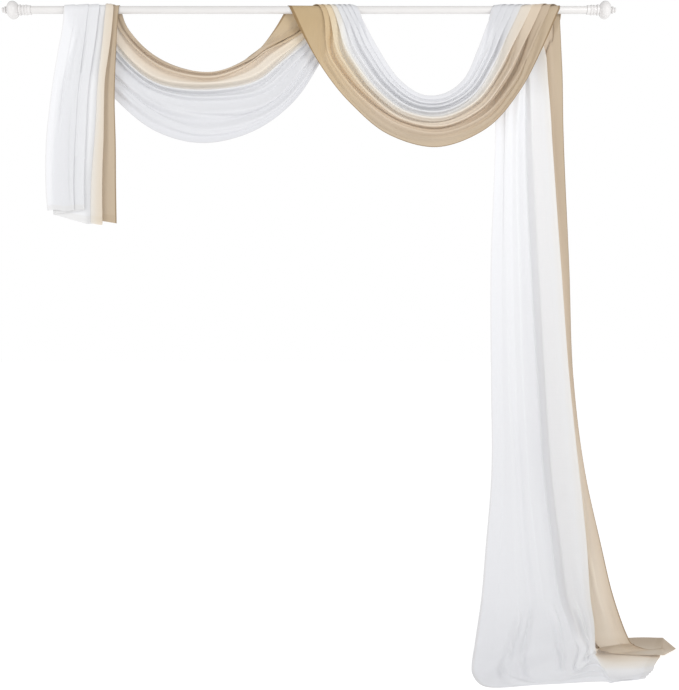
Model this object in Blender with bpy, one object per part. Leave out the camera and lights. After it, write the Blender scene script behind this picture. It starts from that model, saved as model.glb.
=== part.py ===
# Swag and tail drape: one long two-tone scarf of sheer cloth, thrown over a curtain pole.
# Metres, +Z up. The origin is the pole's axis at mid-length, +X runs along the pole, -Y faces the room.

import math

import bmesh
import bpy
import numpy as np

MM = 0.001

# The pole and its finials, millimetres
POLE_LENGTH = 1888.0
POLE_DIAMETER = 26.0
POLE_WALL = 1.2
POLE_SIDES = 32
FINIAL_SIDES = 28
SPIGOT_LENGTH = 32.0
SEAT_GAP = 0.3

# The scarf, millimetres
SHEET = 1.2
WRAP_ROWS = 6
FLOOR = -2240.0
BED = 12.0
ON_POLE = (POLE_DIAMETER / 2 + SEAT_GAP + SHEET / 2) / math.cos(math.pi / WRAP_ROWS / 2) + 0.2
ON_FLOOR = FLOOR + SHEET / 2 + BED

# The short hem's hidden layers hang lower, fading out towards the white edge and the taupe side
HEM_DIP = 44.0
HEM_DIP_END = 0.62
HEM_DIP_FADE = 0.125

# The scarf's way from its short hem, over the pole three times, to its long hem on the floor.
# Each row: place, white edge x y z, taupe edge x y z, way the outer face looks at each edge
# (degrees round X: 0 room, 90 up, 180 wall, 270 down), net rows to the next place.
RAILS = (
    ("short hem", (-883, -16, -686), (-649, -16, -728), (0, 0), 1),
    ("tail low", (-889, -16, -594), (-651, -16, -594), (0, 0), 1),
    ("tail middle", (-888, -16, -466), (-652, -16, -466), (0, 0), 1),
    ("tail upper", (-872, -16, -303), (-656, -16, -303), (0, 0), 1),
    ("tail top", (-850, -15, -154), (-652, -15, -154), (0, 0), 1),
    ("tail at pole", (-832, -ON_POLE, -46), (-647, -ON_POLE, -46), (0, 0), 1),
    ("first front", (-829, -ON_POLE, 0), (-643, -ON_POLE, 0), (0, 0), WRAP_ROWS),
    ("first back", (-826, ON_POLE, 0), (-641, ON_POLE, 0), (180, 180), 3),
    ("swag one a", (-785, 14, -136), (-622, 14, -51), (180, 180), 3),
    ("swag one b", (-658, 8, -303), (-537, 8, -143), (180, 180), 2),
    ("swag one c", (-510, -8, -418), (-435, -8, -196), (180, 180), 3),
    ("swag one low", (-354, -14, -454), (-335, -14, -213), (180, 180), 2),
    ("swag one d", (-173, -8, -405), (-241, -8, -182), (180, 180), 3),
    ("swag one e", (-54, 2, -312), (-176, 2, -136), (180, 180), 3),
    ("swag one f", (52, 13, -150), (-118, 13, -60), (180, 180), 3),
    ("second back", (136, ON_POLE, 0), (-82, ON_POLE, 0), (180, 180), WRAP_ROWS),
    ("second front", (163, -ON_POLE, 0), (-63, -ON_POLE, 0), (0, 0), 1),
    ("swag two a", (184, -14, -41), (-34, -14, -61), (0, 0), 3),
    ("swag two b", (235, -12, -136), (44, -12, -199), (0, 0), 3),
    ("swag two c", (306, 0, -236), (143, 0, -320), (0, 0), 3),
    ("swag two d", (388, 12, -287), (275, 12, -424), (0, 0), 2),
    ("swag two low", (462, 12, -282), (435, 12, -465), (0, 0), 2),
    ("swag two e", (524, 0, -238), (592, 0, -411), (0, 0), 3),
    ("swag two f", (571, -10, -139), (717, -10, -275), (0, 0), 3),
    ("swag two g", (600, -14, -62), (795, -14, -125), (0, 0), 4),
    ("third front", (626, -ON_POLE, 0), (850, -ON_POLE, 0), (0, 0), WRAP_ROWS),
    ("third back", (628, ON_POLE, 0), (855, ON_POLE, 0), (180, 180), 4),
    ("long tail top", (634, 15, -170), (867, 15, -170), (180, 180), 4),
    ("long tail high", (636, 16, -417), (876, 16, -417), (180, 180), 3),
    ("long tail upper", (621, 16, -876), (897, 18, -876), (180, 180), 1),
    ("long tail middle", (622, 16, -1252), (913, 24, -1252), (180, 180), 1),
    ("long tail lower", (623, 15, -1584), (957, 34, -1584), (180, 180), 1),
    ("long tail low", (603, 14, -1835), (1015, 50, -1843), (180, 180), 1),
    ("flare", (584, 8, -2032), (1053, 75, -1990), (180, 180), 2),
    ("flare low", (566, -2, -2150), (1075, 90, -2055), (195, 180), 2),
    ("touch down", (552, -35, ON_FLOOR), (1097, 108, -2110), (235, 185), 2),
    ("front corner", (575, -175, ON_FLOOR), (1120, 128, -2160), (270, 195), 2),
    ("front edge", (760, -188, ON_FLOOR), (1150, 150, -2205), (270, 225), 2),
    ("floor", (930, -184, ON_FLOOR), (1200, 168, ON_FLOOR), (270, 265), 2),
    ("long hem", (1060, -140, ON_FLOOR), (1310, 190, ON_FLOOR), (270, 270), 0),
)

# The cloth's seven folds across its width, measured at these places.
# Each row: place, face that shows, depth, lap (share of the fold that is hidden), turn at each
# crease, unevenness, lift of the white edge and of the taupe edge, reach of the last crease past the
# taupe edge, width of the box pleat, and the seven creases that show, from white to taupe.
PROFILES = (
    ("short hem", "outer", 24, 1.2, 2.6, 1, 0.5, 0.3, 0.0, 0.17,
     (0.20, 0.38, 0.49, 0.56, 0.62, 0.85, 0.91)),
    ("tail upper", "outer", 22, 1.2, 2.6, 1, 0.5, 0.3, 0.0, 0.15,
     (0.22, 0.42, 0.56, 0.64, 0.70, 0.89, 0.94)),
    ("first front", "outer", 10.5, 1.3, 2.0, 0, 0.5, 0.2, 0.0, 0.12,
     (0.20, 0.42, 0.58, 0.68, 0.75, 0.91, 0.95)),
    ("first back", "outer", 10.5, 1.2, 2.0, 0, 0.5, 0.2, 0.0, 0.10,
     (0.20, 0.40, 0.56, 0.66, 0.74, 0.90, 0.955)),
    ("swag one low", "inner", 60, 0.3, 7, 1, 0.4, 0.3, 0.0, 0.0,
     (0.19, 0.43, 0.64, 0.763, 0.85, 0.92, 0.975)),
    ("second back", "outer", 10.5, 1.3, 2.0, 0, 0.5, 0.2, 0.0, 0.0,
     (0.09, 0.18, 0.27, 0.36, 0.45, 0.54, 0.64)),
    ("second front", "outer", 10.5, 1.3, 2.0, 0, 0.5, 0.2, 0.0, 0.0,
     (0.08, 0.16, 0.24, 0.32, 0.40, 0.48, 0.56)),
    ("swag two low", "outer", 58, 0.3, 6, 1, 0.4, 0.6, 0.0, 0.0,
     (0.07, 0.14, 0.21, 0.29, 0.42, 0.557, 0.725)),
    ("swag two f", "outer", 34, 0.7, 4.5, 0.6, 0.45, 0.4, 0.0, 0.0,
     (0.085, 0.17, 0.255, 0.34, 0.49, 0.63, 0.78)),
    ("third front", "outer", 10.5, 1.3, 2.0, 0, 0.5, 0.2, 0.0, 0.0,
     (0.10, 0.20, 0.30, 0.40, 0.56, 0.71, 0.84)),
    ("third back", "inner", 10.5, 1.3, 2.0, 0, 0.0, 0.2, 0.0, 0.0,
     (0.14, 0.28, 0.43, 0.60, 0.70, 0.80, 0.90)),
    ("long tail top", "inner", 24, 0.5, 4, 0.4, 0.1, 0.2, 0.0, 0.0,
     (0.16, 0.31, 0.46, 0.70, 0.79, 0.865, 0.93)),
    ("long tail high", "inner", 46, -0.4, 6, 1, 0.2, 0.3, 0.0, 0.0,
     (0.20, 0.36, 0.51, 0.81, 0.87, 0.92, 0.965)),
    ("long tail middle", "inner", 60, -0.4, 6, 1, 0.3, 0.2, 0.0, 0.0,
     (0.20, 0.42, 0.634, 0.90, 0.93, 0.955, 0.98)),
    ("flare", "inner", 60, -0.4, 6, 1, 0.3, 0.1, 0.0, 0.0,
     (0.33, 0.50, 0.656, 0.82, 0.88, 0.93, 0.97)),
    ("touch down", "inner", 26, -0.2, 5, 1, 0.8, 0.1, 0.06, 0.0,
     (0.28, 0.44, 0.58, 0.72, 0.80, 0.88, 0.95)),
    ("floor", "inner", BED, 0.5, 2.2, 0, 1.0, 0.0, 0.20, 0.0,
     (0.09, 0.18, 0.28, 0.40, 0.52, 0.68, 0.93)),
    ("long hem", "inner", BED, 0.5, 2.2, 0, 1.0, 0.0, 0.28, 0.0,
     (0.08, 0.16, 0.24, 0.33, 0.44, 0.66, 0.95)),
)

# How much lower than the deepest fold each crest stands, and how far each trough stays from the
# bottom, as shares of the depth, from the white edge to the taupe edge.
CREST_SHORT = (0.10, 0.0, 0.14, 0.08, -0.12, 0.10, 0.0)
TROUGH_LIFT = (0.06, 0.12, 0.0, 0.10, 0.05, 0.12, 0.0)

# The box pleat is the fifth fold: its two troughs lie under it, at these shares of its width
BOX_FOLD = 4
BOX_TROUGHS = (0.2, 0.5)

# A crease's turn takes at most this share of the room to its neighbour, on each side
CREASE_ROOM = 0.25

# A finial's outline from the pole's end outwards: distance from that end, radius, millimetres
FINIAL_COLLARS = (
    (0.0, 15.0), (1.0, 15.6), (9.0, 15.6), (10.0, 14.6), (11.5, 14.6), (13.0, 16.9), (16.0, 17.6),
    (18.5, 16.6), (20.0, 14.4), (21.5, 14.4), (23.0, 16.8), (27.5, 16.8), (29.5, 13.6), (32.5, 13.6),
    (34.0, 17.6), (35.0, 18.3), (39.0, 18.3), (41.0, 16.0), (43.0, 14.5),
)
BALL_RADIUS = 30.5
BALL_HALF_LENGTH = 21.5
BALL_CENTRE = 62.0
BALL_STEPS = 12
FINIAL_TIP = (
    (84.0, 8.0), (85.5, 11.4), (88.0, 12.2), (90.5, 10.8), (91.8, 6.6), (93.2, 6.0), (94.2, 8.0),
    (96.4, 8.8), (98.6, 7.6), (99.8, 4.4), (100.2, 0.0),
)

# Colours, linear
CLOTH = (0.86, 0.83, 0.77, 1.0)
PAINT = (0.78, 0.76, 0.74, 1.0)


def material(name, colour, roughness, metallic):
    made = bpy.data.materials.new(name)
    made.use_nodes = True
    shader = made.node_tree.nodes["Principled BSDF"]
    shader.inputs["Base Color"].default_value = colour
    shader.inputs["Roughness"].default_value = roughness
    shader.inputs["Metallic"].default_value = metallic
    made.diffuse_color = colour
    return made


def add_object(name, mesh, made):
    mesh.materials.append(made)
    placed = bpy.data.objects.new(name, mesh)
    bpy.context.scene.collection.objects.link(placed)
    return placed


def through(knots, values, where):
    # A smooth curve through the values at the knots: cubic pieces with slopes from both neighbours
    gaps = np.diff(knots)[:, None]
    slopes = np.diff(values, axis=0) / gaps
    inner = (slopes[:-1] * gaps[1:] + slopes[1:] * gaps[:-1]) / (gaps[:-1] + gaps[1:])
    tangents = np.vstack([slopes[:1], inner, slopes[-1:]])
    piece = np.clip(np.searchsorted(knots, where, side="right") - 1, 0, len(knots) - 2)
    width = gaps[piece]
    t = ((where - knots[piece]) / width[:, 0])[:, None]
    start, end = values[piece], values[piece + 1]
    rise = (2 * t**3 - 3 * t**2 + 1) * start + (3 * t**2 - 2 * t**3) * end
    return rise + width * ((t**3 - 2 * t**2 + t) * tangents[piece] + (t**3 - t**2) * tangents[piece + 1])


def eased(knots, values, where):
    # Straight blends between the values at the knots, eased in and out at each knot
    piece = np.clip(np.searchsorted(knots, where, side="right") - 1, 0, len(knots) - 2)
    t = np.clip((where - knots[piece]) / (knots[piece + 1] - knots[piece]), 0.0, 1.0)
    blend = (3 * t**2 - 2 * t**3)[:, None]
    return values[piece] * (1 - blend) + values[piece + 1] * blend


def creases(profile):
    # Where each crest and trough lies: share of the way from white to taupe, and height from the inner side
    _, face, deep, lap, turn, uneven, white_lift, taupe_lift, reach, box, shown = profile
    shown = np.array(shown)
    pitch = np.diff(np.concatenate([[0.0], shown, [1.0]]))
    hidden = lap * np.minimum(pitch[:-1], pitch[1:])
    crests, troughs = (shown, shown - hidden) if face == "outer" else (shown + hidden, shown)
    crests = crests + reach * (np.arange(len(shown)) == len(shown) - 1)
    if box > 0:
        troughs = troughs.copy()
        troughs[BOX_FOLD - 1:BOX_FOLD + 1] = shown[BOX_FOLD] + box * np.array(BOX_TROUGHS)
    high = deep * (1 - uneven * np.array(CREST_SHORT))
    low = deep * uneven * np.array(TROUGH_LIFT)
    share = np.concatenate([[0.0], np.stack([crests, troughs], 1).ravel(), [1.0]])
    height = np.concatenate([[deep * white_lift], np.stack([high, low], 1).ravel(), [deep * taupe_lift]])
    return np.concatenate([share, height, [box, turn]])


def unit(vectors):
    return vectors / np.linalg.norm(vectors, axis=-1, keepdims=True)


def turned_creases(lines, width):
    # Each crease becomes a pair of points set across its fold, so that the cloth turns back on itself
    # without touching. The box pleat's pair stands a box apart.
    count = (lines.shape[1] - 2) // 2
    at = np.stack([lines[:, :count] * width[:, None], lines[:, count:2 * count]], axis=2)
    leaving = at.copy()
    leaving[:, 1 + 2 * BOX_FOLD, 0] += lines[:, -2] * width
    before = unit(leaving[:, :-2] - at[:, 1:-1])
    after = unit(at[:, 2:] - leaving[:, 1:-1])
    across = unit(after - before) * lines[:, None, -1:] / 2
    room = np.full(at[:, 1:-1, 0].shape, 1e9)
    apart = np.abs(np.diff(at[..., 0][:, 1:-1].reshape(len(at), -1, 2), axis=1))
    room[:, :-2] = apart.reshape(len(at), -1)
    room[:, 2:] = np.minimum(room[:, 2:], apart.reshape(len(at), -1))
    across[..., 0] = np.clip(across[..., 0], -room * CREASE_ROOM, room * CREASE_ROOM)
    inward = np.abs(across[..., 1])
    inward[:, ::2] *= -1
    at[:, 1:-1, 1] += inward
    leaving[:, 1:-1, 1] += inward
    pairs = np.stack([at[:, 1:-1] - across, leaving[:, 1:-1] + across], axis=2).reshape(len(at), -1, 2)
    net = np.concatenate([at[:, :1], pairs, at[:, -1:]], axis=1)
    return net[..., 0] / width[:, None], net[..., 1]


def net_parameters(rails):
    # How far along the cloth each place lies, and the rows of the net between the places
    white = np.array([row[1] for row in rails], float)
    taupe = np.array([row[2] for row in rails], float)
    facing = np.array([row[3] for row in rails], float)
    steps = (np.linalg.norm(np.diff(white, axis=0), axis=1) + np.linalg.norm(np.diff(taupe, axis=0), axis=1)) / 2
    over = np.abs(np.diff(facing[:, 0])) > 90
    steps[over] = math.pi * ON_POLE
    knots = np.concatenate([[0.0], np.cumsum(steps)])
    where = [np.linspace(knots[i], knots[i + 1], rows[4], endpoint=False) for i, rows in enumerate(rails[:-1])]
    return knots, np.concatenate(where + [knots[-1:]]), white, taupe, facing, over


def scarf_net():
    # The cloth's middle surface as a grid: rows along its length, fold lines across its width
    knots, where, white, taupe, facing, over = net_parameters(RAILS)
    rails = np.hstack([white, taupe])
    path = np.zeros((len(where), 6))
    starts = np.concatenate([[0], np.nonzero(over)[0] + 1, [len(knots)]])
    for first, last in zip(starts[:-1], starts[1:]):
        here = (where >= knots[first] - 1e-6) & (where <= knots[last - 1] + 1e-6)
        path[here] = through(knots[first:last], rails[first:last], where[here])
    turned = eased(knots, facing, where)
    for place in np.nonzero(over)[0]:
        here = (where > knots[place] + 1e-6) & (where < knots[place + 1] - 1e-6)
        share = ((where[here] - knots[place]) / (knots[place + 1] - knots[place]))[:, None]
        angle = math.radians(facing[place, 0]) * (1 - share) + math.radians(facing[place + 1, 0]) * share
        turned[here] = np.degrees(angle)
        for edge in (0, 3):
            run = rails[place, edge] * (1 - share) + rails[place + 1, edge] * share
            path[here, edge:edge + 3] = np.hstack([run, -ON_POLE * np.cos(angle), ON_POLE * np.sin(angle)])
    names = [row[0] for row in RAILS]
    measured = [names.index(profile[0]) for profile in PROFILES]
    lines = eased(knots[measured], np.array([creases(profile) for profile in PROFILES]), where)
    share, height = turned_creases(lines, np.linalg.norm(path[:, :3] - path[:, 3:], axis=1))
    inside = np.clip(share, 0.0, 1.0)
    angle = np.radians(turned[:, :1] * (1 - inside) + turned[:, 1:] * inside)
    outward = np.stack([np.zeros_like(angle), -np.cos(angle), np.sin(angle)], axis=2)
    net = path[:, None, :3] * (1 - share[..., None]) + path[:, None, 3:] * share[..., None]
    net = net + height[..., None] * outward
    hem = np.clip(1 - where / knots[1], 0.0, 1.0)[:, None]
    behind = 1 - height / height.max(axis=1, keepdims=True)
    fades = np.clip(share / HEM_DIP_FADE, 0.0, 1.0) * np.clip((HEM_DIP_END - share) / HEM_DIP_FADE, 0.0, 1.0)
    net[..., 2] -= HEM_DIP * hem * behind * fades
    return net * MM


def add_scarf():
    net = scarf_net()
    rows, columns = net.shape[:2]
    index = np.arange(rows * columns).reshape(rows, columns)
    near, right, far, left = index[:-1, :-1], index[:-1, 1:], index[1:, 1:], index[1:, :-1]
    returning = (np.arange(columns - 1) % 4 >= 2)[None, :, None]
    first = np.where(returning, np.stack([near, right, left], 2), np.stack([near, right, far], 2))
    second = np.where(returning, np.stack([right, far, left], 2), np.stack([near, far, left], 2))
    faces = np.concatenate([first.reshape(-1, 3), second.reshape(-1, 3)])
    mesh = bpy.data.meshes.new("scarf")
    mesh.from_pydata(net.reshape(-1, 3).tolist(), [], faces.tolist())
    scarf = add_object("scarf", mesh, material("sheer cloth", CLOTH, 0.8, 0.0))
    cloth = scarf.modifiers.new("sheet", "SOLIDIFY")
    cloth.thickness = SHEET * MM
    cloth.offset = 0.0
    cloth.use_even_offset = True
    cloth.use_quality_normals = True


def turned_mesh(name, outline, sides, closed):
    # A shape turned about X from (x, radius) points
    made = bmesh.new()
    points = [made.verts.new((x * MM, 0.0, radius * MM)) for x, radius in outline]
    pairs = list(zip(points, points[1:])) + ([(points[-1], points[0])] if closed else [])
    edges = [made.edges.new(pair) for pair in pairs]
    bmesh.ops.spin(made, geom=points + edges, cent=(0, 0, 0), axis=(1, 0, 0), angle=math.tau, steps=sides)
    bmesh.ops.remove_doubles(made, verts=made.verts, dist=1e-6)
    bmesh.ops.recalc_face_normals(made, faces=made.faces)
    mesh = bpy.data.meshes.new(name)
    made.to_mesh(mesh)
    made.free()
    mesh.shade_smooth()
    mesh.set_sharp_from_angle(angle=math.radians(35))
    return mesh


def add_pole(paint):
    half, outer = POLE_LENGTH / 2, POLE_DIAMETER / 2
    inner = outer - POLE_WALL
    outline = ((-half, inner), (half, inner), (half, outer), (-half, outer))
    add_object("pole", turned_mesh("pole", outline, POLE_SIDES, True), paint)


def finial_outline():
    # Spigot, collars, flattened ball and tip, as distance from the pole's end and radius
    spigot = POLE_DIAMETER / 2 - POLE_WALL - 2 * SEAT_GAP
    angles = np.linspace(math.radians(148), math.radians(14), BALL_STEPS)
    ball = [(BALL_CENTRE + BALL_HALF_LENGTH * math.cos(a), BALL_RADIUS * math.sin(a)) for a in angles]
    start = ((-SPIGOT_LENGTH, 0.0), (-SPIGOT_LENGTH, spigot), (SEAT_GAP, spigot), (SEAT_GAP, FINIAL_COLLARS[0][1]))
    return start + FINIAL_COLLARS[1:] + tuple(ball) + FINIAL_TIP


def add_finial(name, side, paint):
    outline = [(side * (POLE_LENGTH / 2 + x), radius) for x, radius in finial_outline()]
    add_object(name, turned_mesh(name, outline, FINIAL_SIDES, False), paint)


def main():
    for old in list(bpy.data.objects):
        bpy.data.objects.remove(old, do_unlink=True)
    add_scarf()
    paint = material("white paint", PAINT, 0.35, 0.0)
    add_pole(paint)
    add_finial("finial_left", -1, paint)
    add_finial("finial_right", 1, paint)


main()
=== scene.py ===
# Swag and tail drape: one long two-tone scarf of sheer cloth, thrown over a white curtain pole.
# Metres, +Z up; the scarf's tables are in millimetres. The origin is the pole's axis at mid-length,
# +X runs along the pole, -Y faces the room.

import math

import bpy
import numpy as np
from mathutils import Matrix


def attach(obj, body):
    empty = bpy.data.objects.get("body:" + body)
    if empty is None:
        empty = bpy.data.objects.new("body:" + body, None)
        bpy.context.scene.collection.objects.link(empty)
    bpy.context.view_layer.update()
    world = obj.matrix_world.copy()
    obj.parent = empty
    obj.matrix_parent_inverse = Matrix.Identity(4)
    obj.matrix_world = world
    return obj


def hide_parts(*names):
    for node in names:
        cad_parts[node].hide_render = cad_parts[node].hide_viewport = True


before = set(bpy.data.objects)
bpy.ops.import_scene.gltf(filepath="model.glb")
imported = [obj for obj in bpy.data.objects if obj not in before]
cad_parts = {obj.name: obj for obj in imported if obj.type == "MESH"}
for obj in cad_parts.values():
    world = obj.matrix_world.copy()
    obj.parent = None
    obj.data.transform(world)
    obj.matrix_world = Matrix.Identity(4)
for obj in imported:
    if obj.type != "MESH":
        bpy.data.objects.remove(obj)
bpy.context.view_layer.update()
mm = 0.001
tiny = 1e-12      # keeps a division away from zero
close = 1e-6      # millimetres along the way that count as the same place
print("frame loaded")


# Shader maths

class Signal:
    # A value that changes over the surface; each operation adds one Math node to its paint
    def __init__(self, paint, socket):
        self.paint, self.socket = paint, socket

    def joined(self, operation, first, second):
        # first and second through one Math node
        return self.paint.signal("Math", {"operation": operation}, {0: first, 1: second})

    def __add__(self, other):
        return self.joined("ADD", self, other)

    def __radd__(self, other):
        return self.joined("ADD", other, self)

    def __sub__(self, other):
        return self.joined("SUBTRACT", self, other)

    def __rsub__(self, other):
        return self.joined("SUBTRACT", other, self)

    def __mul__(self, other):
        return self.joined("MULTIPLY", self, other)

    def __rmul__(self, other):
        return self.joined("MULTIPLY", other, self)

    def least(self, other):
        # the smaller of the two
        return self.joined("MINIMUM", self, other)

    def most(self, other):
        # the larger of the two
        return self.joined("MAXIMUM", self, other)

    def share(self):
        # the value, kept from 0 to 1
        return self.least(1.0).most(0.0)


class Paint:
    # The nodes of one material, or of the world, while they are being made
    def __init__(self, owner):
        owner.use_nodes = True
        self.owner, self.tree = owner, owner.node_tree
        self.tree.nodes.clear()

    def node(self, kind, settings={}, sockets={}):
        # one node of a kind: its settings first, then a value or a link for each socket
        made = self.tree.nodes.new("ShaderNode" + kind)
        for name, value in settings.items():
            if name == "stops":
                while len(made.color_ramp.elements) < len(value):
                    made.color_ramp.elements.new(1.0)
                for element, (place, colour) in zip(made.color_ramp.elements, value):
                    element.position, element.color = place, (*colour, 1.0)
            else:
                setattr(made, name, value)
        for key, value in sockets.items():
            if isinstance(value, Signal):
                value = value.socket
            if isinstance(value, bpy.types.NodeSocket):
                self.tree.links.new(value, made.inputs[key])
            else:
                made.inputs[key].default_value = value
        return made

    def signal(self, kind, settings={}, sockets={}):
        # the first output of a new node, ready for sums
        return Signal(self, self.node(kind, settings, sockets).outputs[0])

    def tinted(self, colour, tint, amount):
        # colour * (1 - amount + tint * amount)
        settings = {"data_type": "RGBA", "blend_type": "MULTIPLY"}
        return self.node("Mix", settings, {"Factor": amount, 6: colour, 7: (*tint, 1.0)}).outputs[2]

    def finished(self, shader, output="OutputMaterial"):
        # the shader goes to the output node
        self.node(output, {}, {"Surface": shader})
        return self.owner


# Curves

def smoothThrough(knots, values, where):
    # cubic pieces through the values; the slope at a knot is
    # (slope before * gap after + slope after * gap before) / (gap before + gap after)
    gaps = np.diff(knots)[:, None]
    slopes = np.diff(values, axis=0) / gaps
    inner = (slopes[:-1] * gaps[1:] + slopes[1:] * gaps[:-1]) / (gaps[:-1] + gaps[1:])
    tangents = np.vstack([slopes[:1], inner, slopes[-1:]])
    piece = np.clip(np.searchsorted(knots, where, side="right") - 1, 0, len(knots) - 2)
    width = gaps[piece]
    t = ((where - knots[piece]) / width[:, 0])[:, None]
    level = (2 * t**3 - 3 * t**2 + 1) * values[piece] + (3 * t**2 - 2 * t**3) * values[piece + 1]
    return level + width * ((t**3 - 2 * t**2 + t) * tangents[piece] + (t**3 - t**2) * tangents[piece + 1])


def easedThrough(knots, values, where):
    # value = a (1 - b) + c b between the values a and c, with b = 3 t^2 - 2 t^3 and t the share of the gap
    piece = np.clip(np.searchsorted(knots, where, side="right") - 1, 0, len(knots) - 2)
    blend = smoothStep((where - knots[piece]) / (knots[piece + 1] - knots[piece]))[:, None]
    return values[piece] * (1 - blend) + values[piece + 1] * blend


def smoothStep(x):
    # 0 below 0, 1 above 1, and 3 x^2 - 2 x^3 between
    x = np.clip(x, 0.0, 1.0)
    return x * x * (3 - 2 * x)


def unit(vectors):
    # each vector divided by its length
    return vectors / np.maximum(np.linalg.norm(vectors, axis=-1, keepdims=True), tiny)


def roundedAcross(points, samples):
    # uniform cubic B-spline along axis 1 of the points: four neighbours with the weights below, where f is
    # the share of the way to the next point; samples count in points, and mirrored ends keep the end points
    before, after = 2 * points[:, :1] - points[:, 1:2], 2 * points[:, -1:] - points[:, -2:-1]
    extended = np.concatenate([before, points, after], axis=1)
    first = np.minimum(samples.astype(int), points.shape[1] - 2)
    f = (samples - first)[None, :, None]
    weights = ((1 - f)**3, 3 * f**3 - 6 * f**2 + 4, -3 * f**3 + 3 * f**2 + 3 * f + 1, f**3)
    return sum(weight / 6 * extended[:, first + n] for n, weight in enumerate(weights))


# The scarf

scarfCut = {
    "width": 0.75,            # flat, metres, between its long edges
    "length": 5.49,           # flat, metres, between its short hems
    "poleRadius": 13.0,       # millimetres from here on
    "offPole": 0.8,           # middle of the cloth to the pole
    "floor": -2240.0,
    "offFloor": 12.0,         # top of the puddle's folds above the floor
    "leastOffFloor": 1.5,     # and its lowest
    "boxFold": 4,             # counted from 0: the fifth fold is the short tail's box pleat
    "boxFull": 0.2,           # at this width (share of the row) its cloth is shared out as follows:
    # how far the box moves the cloth's share at each of the thirty points across
    "boxSpread": (0,) * 15 + (-0.02, -0.02, -0.06, 0.06, 0.02, 0.02) + (0,) * 9,
    "creaseCut": 0.004,       # share of the cloth's width from a crease's middle to each of its two points
    "creaseRoom": 0.25,       # a crease turns within this share of the gap to the next crest or trough
    "guardShare": 0.34,       # its rounding takes at most this share of each panel
    "panelSteps": 6, "guardSteps": 2, "creaseSteps": 3,   # columns on a panel, beside a crease and round it
    "foldFade": 0.25,         # a smaller fold fades in and out over this share of its run
}
onPole = scarfCut["poleRadius"] + scarfCut["offPole"]
onFloor = scarfCut["floor"] + scarfCut["offFloor"]

# The scarf's way: place, white edge x y z, taupe edge x y z, way the outer face looks at each edge
# (degrees round X: 0 to the room, 90 up, 180 back, 270 down), spacing of the rows to the next place.
scarfPath = (
    ("short hem", (-883, -16, -686), (-649, -16, -728), (0, 0), 12),
    ("tail low", (-889, -16, -594), (-651, -16, -594), (0, 0), 18),
    ("tail middle", (-888, -16, -466), (-652, -16, -466), (0, 0), 20),
    ("tail upper", (-872, -16, -303), (-656, -16, -303), (0, 0), 20),
    ("tail top", (-850, -15, -154), (-652, -15, -154), (0, 0), 12),
    ("tail at pole", (-832, -onPole, -46), (-647, -onPole, -46), (0, 0), 8),
    ("first front", (-829, -onPole, 0), (-643, -onPole, 0), (0, 0), 4),
    ("first back", (-826, onPole, 0), (-641, onPole, 0), (180, 180), 10),
    ("swag one a", (-785, 14, -136), (-622, 14, -51), (180, 180), 12),
    ("swag one b", (-658, 8, -303), (-537, 8, -143), (180, 180), 12),
    ("swag one c", (-510, -8, -418), (-435, -8, -196), (180, 180), 12),
    ("swag one low", (-354, -14, -454), (-335, -14, -213), (180, 180), 12),
    ("swag one d", (-173, -8, -405), (-241, -8, -182), (180, 180), 12),
    ("swag one e", (-54, 2, -312), (-176, 2, -136), (180, 180), 12),
    ("swag one f", (52, 13, -150), (-118, 13, -60), (180, 180), 10),
    ("second back", (136, onPole, 0), (-82, onPole, 0), (180, 180), 4),
    ("second front", (163, -onPole, 0), (-63, -onPole, 0), (0, 0), 8),
    ("swag two a", (184, -14, -41), (-34, -14, -61), (0, 0), 12),
    ("swag two b", (235, -12, -136), (44, -12, -199), (0, 0), 12),
    ("swag two c", (306, 0, -236), (143, 0, -320), (0, 0), 12),
    ("swag two d", (388, 12, -287), (275, 12, -424), (0, 0), 12),
    ("swag two low", (462, 12, -282), (435, 12, -465), (0, 0), 12),
    ("swag two e", (524, 0, -238), (592, 0, -411), (0, 0), 12),
    ("swag two f", (571, -10, -139), (717, -10, -275), (0, 0), 12),
    ("swag two g", (600, -14, -62), (795, -14, -125), (0, 0), 10),
    ("third front", (626, -onPole, 0), (850, -onPole, 0), (0, 0), 4),
    ("third back", (628, onPole, 0), (855, onPole, 0), (180, 180), 12),
    ("long tail top", (634, 15, -170), (867, 15, -170), (180, 180), 22),
    ("long tail high", (636, 16, -417), (876, 16, -417), (180, 180), 28),
    ("long tail upper", (621, 16, -876), (897, 18, -876), (180, 180), 28),
    ("long tail middle", (622, 16, -1252), (913, 24, -1252), (180, 180), 28),
    ("long tail lower", (623, 15, -1584), (957, 34, -1584), (180, 180), 24),
    ("long tail low", (603, 14, -1835), (1015, 50, -1843), (180, 180), 16),
    ("flare", (584, 8, -2032), (1053, 75, -1990), (180, 180), 10),
    ("flare low", (566, -2, -2150), (1075, 90, -2055), (195, 180), 8),
    ("touch down", (552, -35, onFloor), (1097, 108, -2110), (235, 185), 8),
    ("front corner", (575, -175, onFloor), (1120, 128, -2160), (270, 195), 8),
    ("front edge", (762, -188, -2240), (1150, 150, -2240), (270, 270), 7),
    ("ridge", (962, -165, -2240), (1168, 162, -2240), (270, 270), 4),
    ("ridge foot", (990, -148, -2240), (1185, 170, -2240), (270, 270), 7),
    ("long hem", (1108, -112, -2240), (1308, 190, -2240), (270, 270), 0),
)

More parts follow.
